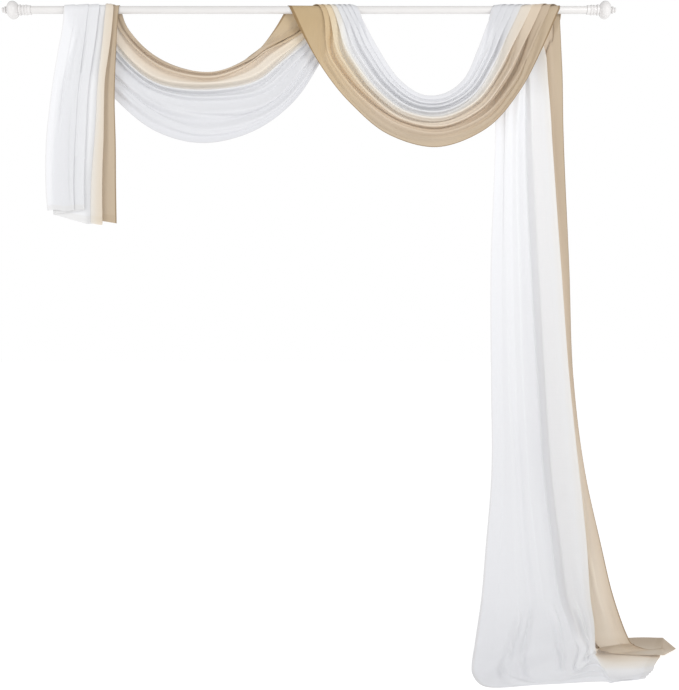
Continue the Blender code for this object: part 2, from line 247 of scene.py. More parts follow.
# Pleats across the width, at these places: face that shows, turn at each crease, rounding, lift of the
# white and of the taupe edge, laps (share of the pleat that is hidden), depths, and the seven lines
# that show, from white to taupe.
scarfPleats = (
    ("first back", "outer", 2.0, 8, 3, 1, (1.2,) * 7, (6,) * 7, (0.20, 0.40, 0.56, 0.66, 0.74, 0.90, 0.955)),
    ("swag one b", "inner", 5, 20, 5, 6, (-0.4, -0.4, -0.4, -0.4, -0.5, 0.1, -0.3),
     (14, 14, 18, 20, 24, 28, 18), (0.16, 0.33, 0.535, 0.60, 0.69, 0.885, 0.96)),
    ("swag one low", "inner", 6, 28, 6, 8, (-0.5, -0.5, -0.45, -0.4, -0.6, -0.4, -0.3),
     (14, 17, 18, 24, 30, 23, 16), (0.19, 0.43, 0.643, 0.742, 0.84, 0.925, 0.985)),
    ("swag one e", "inner", 5, 20, 5, 6, (-0.4, -0.4, -0.4, -0.4, -0.5, 0.1, -0.3),
     (12, 14, 18, 20, 26, 28, 18), (0.10, 0.23, 0.45, 0.60, 0.705, 0.915, 0.965)),
    ("second back", "outer", 2.0, 8, 3, 1, (1.3,) * 7, (6,) * 7, (0.09, 0.18, 0.27, 0.36, 0.45, 0.54, 0.64)),
    ("second front", "outer", 2.0, 8, 3, 1, (1.3,) * 7, (6,) * 7, (0.07, 0.14, 0.21, 0.29, 0.37, 0.46, 0.54)),
    ("third front", "outer", 2.0, 8, 3, 1, (1.3,) * 7, (6, 6, 6, 6, 6, 9, 7),
     (0.10, 0.20, 0.30, 0.40, 0.56, 0.71, 0.84)),
    ("third back", "inner", 2.0, 8, 0, 1, (1.3,) * 7, (6,) * 7, (0.14, 0.28, 0.43, 0.60, 0.70, 0.80, 0.90)),
)

# Folds that hang freely, at these places: turn, rounding, width of the box pleat, then the share
# across and the height of the sixteen lines from the white edge to the taupe edge.
scarfHang = (
    ("short hem", 2.6, 20, 0.21,
     (0, 0.12, 0.26, 0.40, 0.33, 0.55, 0.08, 0.56, 0.79, 0.60, 0.81, 0.70, 0.80, 0.71, 0.76, 1.0),
     (9, 10, 9, 15, 9, 14, 2, 4, 10, 24, 18, 14, 11, 8, 4, 5)),
    ("tail upper", 2.6, 20, 0.16,
     (0, 0.12, 0.26, 0.43, 0.36, 0.59, 0.12, 0.56, 0.83, 0.705, 0.84, 0.76, 0.83, 0.77, 0.80, 1.0),
     (8, 9, 9, 13, 7, 13, 2, 4, 9, 22, 16, 12, 10, 7, 4, 4)),
    ("tail at pole", 2.2, 12, 0.05,
     (0, 0.15, 0.26, 0.44, 0.38, 0.645, 0.28, 0.60, 0.88, 0.75, 0.92, 0.82, 0.90, 0.84, 0.87, 1.0),
     (4, 5, 5, 9, 5, 9, 1, 3, 6, 14, 11, 9, 7, 5, 3, 3)),
    ("first front", 2.0, 8, 0.03,
     (0, 0.16, 0.27, 0.45, 0.40, 0.655, 0.52, 0.60, 0.86, 0.755, 0.915, 0.84, 0.90, 0.86, 0.88, 1.0),
     (3, 4, 4, 7, 4, 7, 1, 2, 4, 9, 8, 6, 5, 4, 2, 2)),
    ("swag two b", 4.5, 16, 0,
     (0, 0.08, 0.095, 0.16, 0.18, 0.24, 0.28, 0.36, 0.42, 0.50, 0.57, 0.645, 0.745, 0.80, 0.85, 1.0),
     (8, 13, 9, 16, 9, 20, 2, 26, 12, 34, 0, 38, 0, 27, 14, 4)),
    ("swag two low", 6, 18, 0,
     (0, 0.09, 0.105, 0.175, 0.195, 0.245, 0.275, 0.355, 0.395, 0.485, 0.54, 0.65, 0.685, 0.775, 0.82, 1.0),
     (12, 18, 12, 23, 12, 28, -4, 32, 12, 44, 8, 50, 24, 50, 28, 6)),
    ("swag two f", 4.5, 16, 0,
     (0, 0.09, 0.10, 0.18, 0.20, 0.27, 0.30, 0.36, 0.41, 0.505, 0.555, 0.665, 0.70, 0.82, 0.86, 1.0),
     (8, 13, 8, 16, 8, 21, -2, 26, 12, 35, -8, 38, -8, 38, 8, 4)),
    ("long tail top", 3, 16, 0,
     (0, 0.13, 0.22, 0.30, 0.39, 0.45, 0.50, 0.62, 0.768, 0.66, 0.71, 0.60, 0.84, 0.75, 0.88, 1.0),
     (2, 6, 2, 6, 4, 14, 3, 4, 0, 12, 18, 27, 28, 20, 18, 14)),
    ("long tail high", 5, 34, 0,
     (0, 0.10, 0.18, 0.25, 0.32, 0.455, 0.53, 0.66, 0.81, 0.68, 0.74, 0.58, 0.87, 0.78, 0.88, 1.0),
     (5, 11, 4, 10, 5, 38, 8, 6, 0, 24, 32, 58, 58, 36, 32, 28)),
    ("long tail upper", 5, 40, 0,
     (0, 0.11, 0.20, 0.28, 0.36, 0.525, 0.60, 0.74, 0.878, 0.74, 0.80, 0.62, 0.92, 0.845, 0.935, 1.0),
     (6, 13, 5, 12, 5, 46, 9, 8, 0, 26, 34, 62, 62, 40, 36, 32)),
    ("long tail middle", 5, 40, 0,
     (0, 0.11, 0.21, 0.30, 0.38, 0.58, 0.645, 0.80, 0.93, 0.79, 0.85, 0.65, 0.955, 0.895, 0.965, 1.0),
     (6, 14, 5, 13, 5, 50, 9, 8, 0, 26, 34, 64, 64, 42, 38, 34)),
    ("long tail lower", 5, 40, 0,
     (0, 0.12, 0.22, 0.31, 0.39, 0.57, 0.632, 0.79, 0.917, 0.78, 0.84, 0.64, 0.95, 0.88, 0.955, 1.0),
     (6, 14, 5, 13, 5, 50, 9, 8, 0, 28, 36, 66, 66, 44, 40, 36)),
    ("long tail low", 5, 40, 0,
     (0, 0.13, 0.25, 0.34, 0.43, 0.58, 0.645, 0.76, 0.863, 0.74, 0.79, 0.64, 0.93, 0.825, 0.91, 1.0),
     (6, 16, 5, 14, 5, 48, 8, 8, 0, 28, 36, 64, 62, 42, 34, 24)),
    ("flare", 5, 40, 0,
     (0, 0.14, 0.28, 0.38, 0.48, 0.60, 0.66, 0.75, 0.829, 0.72, 0.765, 0.65, 0.90, 0.80, 0.90, 1.0),
     (5, 16, 5, 14, 5, 42, 7, 7, 0, 24, 32, 60, 58, 38, 28, 17)),
    ("touch down", 4, 40, 0,
     (-0.006, 0.14, 0.28, 0.41, 0.54, 0.66, 0.70, 0.76, 0.81, 0.735, 0.765, 0.72, 0.91, 0.79, 0.90, 1.0),
     (8, 11, 6, 11, 6, 18, 5, 5, 0, 18, 26, 62, 60, 32, 22, 12)),
    ("front corner", 3, 40, 0,
     (-0.012, 0.12, 0.26, 0.38, 0.50, 0.62, 0.68, 0.72, 0.758, 0.74, 0.765, 0.76, 0.90, 0.785, 0.89, 1.0),
     (10, 8, 9, 7, 9, 8, 6, 4, 0, 14, 22, 58, 60, 24, 16, 8)),
)

# The puddle, at these places: turn, rounding, then x, y and height above the floor of the sixteen lines
scarfPuddle = (
    ("front edge", 3, 30,
     ((762, -188, 10), (788, -168, 12), (814, -147, 11), (840, -124, 14), (866, -100, 13), (892, -74, 18),
      (920, -46, 22), (952, -8, 34), (986, 28, 46), (986, 60, 36), (1004, 100, 26), (1060, 220, 24),
      (1130, 222, 26), (1008, 104, 44), (1078, 128, 44), (1150, 150, 38))),
    ("ridge", 2.4, 12,
     ((966, -168, 12), (968, -142, 22), (970, -120, 25), (971, -97, 28), (973, -74, 30), (975, -52, 31),
      (977, -31, 32), (979, -6, 33), (984, 20, 34), (998, 80, 18), (1022, 114, 8), (1120, 278, 20),
      (1172, 230, 14), (1032, 116, 24), (1100, 138, 28), (1170, 162, 26))),
    ("ridge foot", 2.4, 12,
     ((984, -152, 3), (985, -138, 6), (986, -124, 4), (987, -108, 8), (988, -92, 5), (989, -74, 8),
      (990, -56, 5), (993, -28, 7), (998, 8, 6), (1018, 68, 8), (1046, 116, 6), (1170, 288, 20),
      (1205, 205, 10), (1060, 124, 15), (1126, 148, 18), (1188, 170, 18))),
    ("long hem", 2.4, 14,
     ((1110, -112, 4), (1118, -100, 10), (1126, -90, 7), (1134, -78, 11), (1141, -68, 8), (1148, -57, 11),
      (1155, -46, 8), (1163, -30, 10), (1178, 10, 8), (1204, 60, 9), (1226, 104, 6), (1298, 290, 20),
      (1311, 187, 11), (1237, 96, 15), (1250, 136, 18), (1262, 174, 17))),
)

# How far below the straight short hem each of the sixteen lines ends
shortHemDrop = (0, -9, -9, -19, -18, -26, 8, 20, 10, 17, 9, 6, 4, 2, 1, 0)

# How far across the flat cloth each crest and trough lies, from the white edge to the taupe edge
clothShares = (
    0.0, 0.064, 0.129, 0.193, 0.257, 0.321, 0.386, 0.45,
    0.514, 0.579, 0.643, 0.707, 0.771, 0.836, 0.90, 1.0,
)

# Smaller folds, listed: from place, to place, share of the cloth's width at each,
# half width and height (troughs below 0), millimetres
smallFolds = (
    ("short hem", "tail top", 0.035, 0.05, 14, 2.0),
    ("tail upper", "tail at pole", 0.14, 0.16, 12, -2.5),
    ("tail low", "first front", 0.23, 0.22, 8, 2.5),
    ("tail middle", "first front", 0.095, 0.10, 8, -3.0),
    ("short hem", "tail upper", 0.175, 0.16, 10, -3.0),
    ("tail low", "first front", 0.29, 0.285, 6, -3.0),
    ("tail low", "first front", 0.955, 0.95, 9, -2.0),
    ("tail upper", "first front", 0.91, 0.92, 7, -2.5),
    ("first back", "swag one b", 0.945, 0.92, 8, 3.5),
    ("first back", "swag one c", 0.885, 0.85, 9, -4.0),
    ("first back", "swag one c", 0.70, 0.74, 9, 4.0),
    ("first back", "swag one b", 0.52, 0.55, 10, -4.5),
    ("first back", "swag one low", 0.36, 0.30, 13, 5.0),
    ("swag one a", "swag one low", 0.22, 0.13, 16, 5.5),
    ("swag one b", "swag one d", 0.30, 0.20, 15, -4.0),
    ("swag one c", "swag one e", 0.10, 0.06, 16, 4.0),
    ("swag one low", "second back", 0.17, 0.30, 13, -5.0),
    ("swag one d", "second back", 0.40, 0.50, 11, 4.5),
    ("swag one d", "second back", 0.83, 0.80, 10, -7.0),
    ("swag one d", "second back", 0.90, 0.86, 10, 6.0),
    ("swag one e", "second back", 0.955, 0.93, 9, -7.0),
    ("swag one d", "swag one f", 0.93, 0.965, 8, 5.0),
    ("swag one low", "second back", 0.66, 0.69, 10, 3.5),
    ("second front", "swag two c", 0.93, 0.95, 16, 5.0),
    ("swag two a", "swag two d", 0.89, 0.93, 13, -4.5),
    ("swag two b", "swag two low", 0.975, 0.965, 10, 3.5),
    ("second front", "swag two d", 0.74, 0.73, 8, 3.5),
    ("swag two c", "swag two f", 0.94, 0.90, 13, -8.0),
    ("swag two d", "third front", 0.81, 0.79, 10, 6.0),
    ("swag two low", "third front", 0.975, 0.955, 12, 7.0),
    ("swag two low", "third front", 0.925, 0.895, 10, -7.0),
    ("swag two e", "third front", 0.87, 0.85, 9, 6.0),
    ("swag two d", "swag two g", 0.68, 0.66, 9, -6.0),
    ("swag two e", "third front", 0.745, 0.73, 8, -6.0),
    ("swag two e", "third front", 0.61, 0.60, 8, 5.0),
    ("swag two a", "swag two d", 0.66, 0.68, 9, 5.5),
    ("swag two b", "swag two e", 0.60, 0.62, 8, -5.5),
    ("swag two c", "swag two e", 0.80, 0.78, 9, -6.0),
    ("swag two c", "swag two f", 0.52, 0.54, 8, 4.5),
    ("swag two b", "swag two d", 0.30, 0.27, 9, 3.0),
    ("swag two low", "swag two g", 0.17, 0.20, 9, -3.0),
    ("third back", "long tail upper", 0.10, 0.11, 14, 2.5),
    ("third back", "long tail lower", 0.30, 0.29, 18, -3.0),
    ("long tail high", "long tail low", 0.07, 0.05, 20, 2.5),
    ("long tail middle", "touch down", 0.17, 0.20, 24, -4.0),
    ("long tail lower", "front corner", 0.30, 0.30, 24, 4.0),
    ("long tail low", "front corner", 0.45, 0.46, 22, 5.0),
    ("flare", "front edge", 0.15, 0.03, 14, 20.0),
    ("flare", "front edge", 0.205, 0.08, 12, -14.0),
    ("flare", "front edge", 0.28, 0.26, 14, 18.0),
    ("touch down", "ridge", 0.33, 0.34, 13, -13.0),
    ("flare", "ridge", 0.41, 0.44, 15, 16.0),
    ("front edge", "long hem", 0.05, 0.04, 9, 4.5),
    ("front edge", "long hem", 0.15, 0.12, 11, -6.0),
    ("front edge", "long hem", 0.25, 0.22, 11, 5.0),
    ("front edge", "long hem", 0.37, 0.36, 12, -5.0),
    ("long tail low", "touch down", 0.88, 0.90, 14, 4.0),
    ("flare", "ridge", 0.95, 0.94, 10, -3.0),
)


def pleatLines(face, turn, rounding, whiteLift, taupeLift, laps, depths, shown):
    # one row of numbers: shares across, heights, drifts, then rounding, box and turn; of each pleat the
    # hidden line lies lap * the narrower pitch beside it away from the line that shows
    shown = np.array(shown)
    pitch = np.diff(np.concatenate([[0.0], shown, [1.0]]))
    hidden = np.array(laps) * np.minimum(pitch[:-1], pitch[1:])
    crests, troughs = (shown, shown - hidden) if face == "outer" else (shown + hidden, shown)
    share = np.concatenate([[0.0], np.stack([crests, troughs], 1).ravel(), [1.0]])
    height = np.concatenate([[whiteLift], np.stack([depths, np.zeros(len(shown))], 1).ravel(), [taupeLift]])
    return np.concatenate([share, height, np.zeros(len(share)), [rounding, 0.0, turn]])


def puddleLines(turn, rounding, points, white, taupe):
    # the same row of numbers from points: with d from the white edge and u the direction to the taupe edge,
    # share = d . u / width, height = d . down, drift = d . (u x down)
    points = np.array(points, float) + (0.0, 0.0, scarfCut["floor"])
    white, taupe = np.array(white, float), np.array(taupe, float)
    run, down = unit(taupe - white), np.array([0.0, 0.0, -1.0])
    away = points - white
    share = away @ run / np.linalg.norm(taupe - white)
    return np.concatenate([share, away @ down, away @ np.cross(run, down), [rounding, 0.0, turn]])


def foldTable(names):
    # the place numbers in the order of the way, and the row of numbers at each
    made = {names.index(row[0]): pleatLines(*row[1:]) for row in scarfPleats}
    for place, turn, rounding, box, shares, heights in scarfHang:
        drifts = [0.0] * len(shares)
        made[names.index(place)] = np.concatenate([shares, heights, drifts, [rounding, box, turn]])
    for place, turn, rounding, points in scarfPuddle:
        made[names.index(place)] = puddleLines(turn, rounding, points, *scarfPath[names.index(place)][1:3])
    places = sorted(made)
    return places, np.array([made[place] for place in places])


def turnedFolds(lines, width):
    # each crease becomes two points, at its line -+ unit(way out - way in) * turn / 2, moved into the fold
    # by the height of that step; a box pleat's second point is also moved across by the box's width
    count = (lines.shape[1] - 3) // 3
    at = np.stack([lines[:, :count] * width[:, None], lines[:, count:2 * count]], axis=2)
    leaving = at.copy()
    leaving[:, 1 + 2 * scarfCut["boxFold"], 0] += lines[:, -2] * width
    before = unit(leaving[:, :-2] - at[:, 1:-1])
    after = unit(at[:, 2:] - leaving[:, 1:-1])
    across = unit(after - before) * lines[:, None, -1:] / 2
    apart = np.abs(np.diff(at[..., 0][:, 1:-1].reshape(len(at), -1, 2), axis=1)).reshape(len(at), -1)
    room = np.full(at[:, 1:-1, 0].shape, np.inf)   # to the next crest from a crest, trough from a trough
    room[:, :-2] = apart
    room[:, 2:] = np.minimum(room[:, 2:], apart)
    room *= scarfCut["creaseRoom"]
    across[..., 0] = np.clip(across[..., 0], -room, room)
    inward = np.abs(across[..., 1])
    inward[:, ::2] *= -1
    at[:, 1:-1, 1] += inward
    leaving[:, 1:-1, 1] += inward
    pairs = np.stack([at[:, 1:-1] - across, leaving[:, 1:-1] + across], axis=2).reshape(len(at), -1, 2)
    return np.concatenate([at[:, :1], pairs, at[:, -1:]], axis=1)


def guardedFolds(creases, rounding):
    # two more points on each panel, the rounding or guardShare of its length from its ends, whichever is
    # less, so that the panel keeps its width
    start, end = creases[:, 0::2], creases[:, 1::2]
    length = np.linalg.norm((end - start)[..., :2], axis=2, keepdims=True)
    reach = np.minimum(scarfCut["guardShare"], rounding[:, None, None] / np.maximum(length, tiny))
    near, far = start + (end - start) * reach, end - (end - start) * reach
    points = np.stack([start, near, far, end], axis=2).reshape(len(creases), -1, creases.shape[2])
    return np.delete(points, [1, points.shape[1] - 2], axis=1)


def scarfWay():
    # rows along the path at the table's spacing: where each is, its two edges, and the way its face looks;
    # over the pole x runs on evenly, and y, z = -radius cos a, radius sin a with a the way it looks
    white = np.array([row[1] for row in scarfPath], float)
    taupe = np.array([row[2] for row in scarfPath], float)
    facing = np.array([row[3] for row in scarfPath], float)
    steps = sum(np.linalg.norm(np.diff(edge, axis=0), axis=1) for edge in (white, taupe)) / 2
    over = np.abs(np.diff(facing[:, 0])) > 90   # degrees: only from one side of the pole to the other
    steps[over] = math.pi * onPole
    knots = np.concatenate([[0.0], np.cumsum(steps)])
    spans = [np.linspace(knots[i], knots[i + 1], math.ceil(steps[i] / row[4]), endpoint=False)
             for i, row in enumerate(scarfPath[:-1])]
    where = np.concatenate(spans + [knots[-1:]])
    rails = np.hstack([white, taupe])
    way = np.zeros((len(where), 6))
    starts = np.concatenate([[0], np.nonzero(over)[0] + 1, [len(knots)]])
    for first, last in zip(starts[:-1], starts[1:]):
        here = (where >= knots[first] - close) & (where <= knots[last - 1] + close)
        way[here] = smoothThrough(knots[first:last], rails[first:last], where[here])
    turned = easedThrough(knots, facing, where)
    for place in np.nonzero(over)[0]:
        here = (where > knots[place] + close) & (where < knots[place + 1] - close)
        share = ((where[here] - knots[place]) / (knots[place + 1] - knots[place]))[:, None]
        angle = np.radians(facing[place, 0] * (1 - share) + facing[place + 1, 0] * share)
        turned[here] = np.degrees(angle)
        for edge in (0, 3):
            run = rails[place, edge] * (1 - share) + rails[place + 1, edge] * share
            way[here, edge:edge + 3] = np.hstack([run, -onPole * np.cos(angle), onPole * np.sin(angle)])
    return knots, where, way, turned


def scarfSurface():
    # point = white edge (1 - s) + taupe edge s + height * outward + drift * sideways, over rows and columns
    # of the cloth, with s the share across and the short hem's drop fading out above it
    knots, where, way, turned = scarfWay()
    names = [row[0] for row in scarfPath]
    places, table = foldTable(names)
    lines = easedThrough(knots[places], table, where)
    lower = where > knots[names.index("long tail high")]   # from here down the folds run on smoothly
    lines[lower] = smoothThrough(knots[places], table, where[lower])
    width = np.linalg.norm(way[:, :3] - way[:, 3:], axis=1)
    count = len(clothShares)
    pairs = [1] + [2] * (count - 2) + [1]   # points for each line: two for a crease, one for an edge
    sides = np.concatenate([[0.0], np.tile([-1.0, 1.0], count - 2), [0.0]])
    box = np.clip(lines[:, -2:-1] / scarfCut["boxFull"], 0.0, 1.0)
    cut = np.repeat(np.array(clothShares), pairs) + scarfCut["creaseCut"] * sides
    cut = cut + box * np.array(scarfCut["boxSpread"])
    drop = np.broadcast_to(np.repeat(np.array(shortHemDrop, float), pairs), cut.shape)
    drift = np.repeat(lines[:, 2 * count:3 * count], pairs, axis=1)
    creases = np.concatenate([turnedFolds(lines, width), np.stack([cut, drop, drift], axis=2)], axis=2)
    creases = guardedFolds(creases, lines[:, -3])
    between = [scarfCut[name] for name in ("guardSteps", "creaseSteps", "guardSteps", "panelSteps")]
    steps = [scarfCut["panelSteps"]] + between * (count - 2)
    samples = np.concatenate([n + np.arange(parts) / parts for n, parts in enumerate(steps)] + [[len(steps)]])
    cloth = roundedAcross(creases, samples)
    share, height, across = cloth[..., 0] / width[:, None], cloth[..., 1], cloth[..., 2]
    inside = np.clip(share, 0.0, 1.0)
    angle = np.radians(turned[:, :1] * (1 - inside) + turned[:, 1:] * inside)
    outward = np.stack([np.zeros_like(angle), -np.cos(angle), np.sin(angle)], axis=2)
    place = way[:, None, :3] * (1 - share[..., None]) + way[:, None, 3:] * share[..., None]
    place += height[..., None] * outward
    place[..., 2] -= cloth[..., 3] * np.clip(1 - where / knots[1], 0.0, 1.0)[:, None]
    run = unit(way[:, 3:] - way[:, :3])[:, None]
    place += cloth[..., 4:5] * np.cross(np.broadcast_to(run, outward.shape), outward)
    along = np.broadcast_to((where / knots[-1])[:, None], across.shape)
    return place, across, along, dict(zip(names, knots)), where


def surfaceNormals(place):
    # unit(d place / d row x d place / d column)
    return unit(np.cross(np.gradient(place, axis=0), np.gradient(place, axis=1)))


def smallFoldHeights(across, where, knots):
    # sum over the table of height (1 - x^2)^2 * fade, with x = distance across / half width, and the fade
    # going from 0 to 1 at the start and back at the end
    total = np.zeros_like(across)
    for start, end, shareStart, shareEnd, halfWidth, height in smallFolds:
        run = (where - knots[start]) / (knots[end] - knots[start])
        fade = smoothStep(run / scarfCut["foldFade"]) * smoothStep((1 - run) / scarfCut["foldFade"])
        centre = shareStart + (shareEnd - shareStart) * np.clip(run, 0, 1)
        x = (across - centre[:, None]) * scarfCut["width"] / (halfWidth * mm)
        total += height * fade[:, None] * np.clip(1 - x**2, 0, None)**2
    return total


def makeScarf():
    # place + normal * smaller folds, never below the floor, as a grid of four-sided faces; the map "cut"
    # keeps each point's share across and along the flat cloth
    place, across, along, knots, where = scarfSurface()
    normals = surfaceNormals(place)
    place = place + normals * smallFoldHeights(across, where, knots)[..., None]
    place[..., 2] = np.maximum(place[..., 2], scarfCut["floor"] + scarfCut["leastOffFloor"])
    rows, columns = across.shape
    index = np.arange(rows * columns).reshape(rows, columns)
    faces = np.stack([index[:-1, :-1], index[1:, :-1], index[1:, 1:], index[:-1, 1:]], axis=2).reshape(-1, 4)
    mesh = bpy.data.meshes.new("scarf cloth")
    mesh.vertices.add(rows * columns)
    mesh.vertices.foreach_set("co", (place.reshape(-1) * mm).astype(np.float32))
    mesh.loops.add(faces.size)
    mesh.loops.foreach_set("vertex_index", faces.ravel().astype(np.int32))
    mesh.polygons.add(len(faces))
    mesh.polygons.foreach_set("loop_start", (np.arange(len(faces)) * 4).astype(np.int32))
    mesh.update(calc_edges=True)
    cutMap = mesh.uv_layers.new(name="cut")
    flat = np.stack([across.ravel()[faces.ravel()], along.ravel()[faces.ravel()]], axis=1)
    cutMap.data.foreach_set("uv", flat.astype(np.float32).ravel())
    mesh.shade_smooth()
    mesh.validate()
    made = bpy.data.objects.new("scarf_cloth", mesh)
    bpy.context.scene.collection.objects.link(made)
    print("scarf", rows, "rows", columns, "columns", 2 * len(faces), "triangles")
    return made


# The cloth's finish

# Places along the cloth are shares of its length from the short hem, and places across it are shares of
# its width from the white edge. A pair is the place where something is still 0, and how far on it is 1
# (further back if below 0).
voile = {
    # place across, colour (linear)
    "stops": (
        (0.00, (0.895, 0.90, 0.925)),
        (0.47, (0.895, 0.90, 0.915)),
        (0.53, (0.90, 0.87, 0.82)),
        (0.60, (0.87, 0.79, 0.68)),
        (0.70, (0.81, 0.69, 0.55)),
        (0.80, (0.69, 0.565, 0.43)),
        (0.88, (0.60, 0.485, 0.36)),
        (1.00, (0.56, 0.45, 0.32)),
    ),
    "sheer": 0.93,             # share of the light that one layer stops, at the white edge
    "sheerTaupe": 0.97,        # on the taupe side
    "sheerHem": 0.985,         # in the hems
    "sheerThread": 0.1,        # and its change from thread to thread
    "through": 0.16,           # share of the stopped light that comes through from behind,
    "throughWhite": (0.82, 0.825, 0.845), "throughTaupe": (0.575, 0.465, 0.34),   # its colours (linear),
    "throughDye": (0.52, 0.34),                          # and where in the dye it goes from one to the other
    "roughness": 0.72, "gloss": 0.2, "sheen": 0.15, "sheenRoughness": 0.4,
    "sideHem": 0.0065, "endHem": 0.022, "hemFade": 0.0015,              # metres
    # the taupe edge's hem tint is partly the hem's own denser dye and partly painted shade along the edge's
    # roll
    "hemTint": (0.94, 0.93, 0.91), "taupeHemAndShade": (0.60, 0.53, 0.45),     # the second by the taupe edge only
    "warp": (900.0, 12.0, 1.0), "weft": (14.0, 700.0, 1.0),             # thread noise for each metre
    "threadDetail": 2.0, "threadTint": (0.95, 0.95, 0.95), "bump": 0.16, "bumpDepth": 0.0004,
    "cloudScale": 7.0, "cloudDetail": 3.0, "cloudShift": 0.03,          # the dye's edge wanders this far
    "dyed": (0.5, 0.25),       # across: the dyed side
    "longTail": (0.6, 0.2),    # along
    "firstSwag": ((0.13, 1 / 30), (0.335, -1 / 60)),     # along: its start and its end
    "secondSwag": ((0.325, 1 / 60), (0.58, -1 / 40)),
    # painted golden light: golden where the cloth crosses the pole between the swags
    "warmLightTint": (1.0, 0.93, 0.74), "warmLightAt": 0.340, "warmLightReach": 0.060,
    # painted light: down the long tail the taupe side is drawn lighter, with the dye of cloth this much
    # further in
    "paler": 0.24, "palerAt": 0.92, "palerReach": 0.16,
    # painted light: the first swag, one layer with light coming through, is drawn lighter, with the dye of
    # cloth this much further in
    "thin": 0.03, "thinAt": 0.235, "thinReach": 0.10,
    # along the second swag the dye's edge moves across at this rate, within these limits
    "leanAt": 0.45, "leanRate": 0.75, "leanLeast": -0.07, "leanMost": 0.045,
    # painted shade: the white side is darkened grey in the swags, less so in the second one and down the long
    # tail
    "swagShadeTint": (0.84, 0.84, 0.85), "secondSwagShade": 0.8, "tailShade": 0.65,
    "swagShadeSide": (0.62, -0.2), "tailShadeSide": (0.47, -1 / 6),
    # painted shade: the folded flap at the long hem is darkened as if it lay in shade
    "flapShadeTint": (0.80, 0.77, 0.74), "flapAt": 0.735, "flapReach": 0.07, "flapStart": (0.955, 0.025),
    "flapAmount": 1.6,
}


def ramped(value, start, reach):
    # (value - start) / reach, kept from 0 to 1
    return ((value - start) * (1.0 / reach)).share()


def peaked(value, centre, reach):
    # 1 - ((value - centre) / reach)^2, kept from 0 to 1
    offset = (value - centre) * (1.0 / reach)
    return (1.0 - offset * offset).share()


